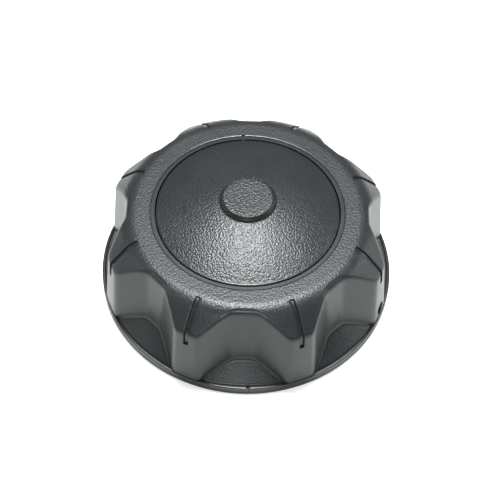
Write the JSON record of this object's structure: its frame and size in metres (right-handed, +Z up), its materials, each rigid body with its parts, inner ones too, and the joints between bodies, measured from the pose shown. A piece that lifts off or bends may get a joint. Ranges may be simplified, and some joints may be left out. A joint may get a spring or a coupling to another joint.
{
  "type": "vented tank cap",
  "caption": "Round screw-on tank cap with a lobed grip, a domed cover disc, a ratchet that limits the turning force, and a two-way vent valve inside.",
  "frame": {"origin": "centre of the underside of the grip's flange, on which the cap stands", "axes": "+Z up along the cap's axis, out of the tank; one scallop of the grip faces -Y, and the air outlet is on the +X side"},
  "size_m": [0.09, 0.09, 0.0367],
  "materials": {
    "grip_plastic": "moulded black plastic, leather grain on the top faces and satin on the walls",
    "disc_plastic": "moulded black plastic with a leather grain",
    "closure_plastic": "plain moulded black plastic",
    "acetal": "natural low-friction plastic",
    "neck_rubber": "black fuel-proof rubber",
    "valve_plastic": "dark grey glass-filled plastic",
    "seal_rubber": "brown fuel-proof rubber",
    "plated_steel": "zinc-plated steel",
    "poppet_plastic": "natural plastic",
    "spring_steel": "bright spring wire",
    "filter_foam": "open-cell filter foam"
  },
  "bodies": {
    "grip": {"grip_cover": "grip_plastic", "cover_disc": "disc_plastic"},
    "closure": {"threaded_closure": "closure_plastic", "pawl_ring": "acetal", "thrust_washer": "acetal", "neck_gasket": "neck_rubber", "valve_housing": "valve_plastic", "housing_seal": "seal_rubber", "housing_screws": "plated_steel", "valve_cover": "valve_plastic", "filter_foam": "filter_foam", "filter_grille": "closure_plastic", "splash_baffle": "valve_plastic", "pressure_spring": "spring_steel"},
    "pressure_valve": {"pressure_plate": "valve_plastic", "pressure_seal": "seal_rubber", "vacuum_spring": "spring_steel"},
    "vacuum_valve": {"vacuum_poppet": "poppet_plastic", "vacuum_seal": "seal_rubber", "spring_cap": "plated_steel"}
  },
  "joints": [
    {"name": "closure_turn", "type": "hinge", "parent": "grip", "child": "closure", "pos_m": [0, 0, 0], "axis": [0, 0, 1], "continuous": true},
    {"name": "pressure_lift", "type": "slide", "parent": "closure", "child": "pressure_valve", "axis": [0, 0, 1], "range_m": [0, 0.0015], "stiffness_N_per_m": 60, "deforming": ["pressure_spring"]},
    {"name": "vacuum_drop", "type": "slide", "parent": "pressure_valve", "child": "vacuum_valve", "axis": [0, 0, -1], "range_m": [0, 0.001], "stiffness_N_per_m": 60, "deforming": ["vacuum_spring"]}
  ]
}
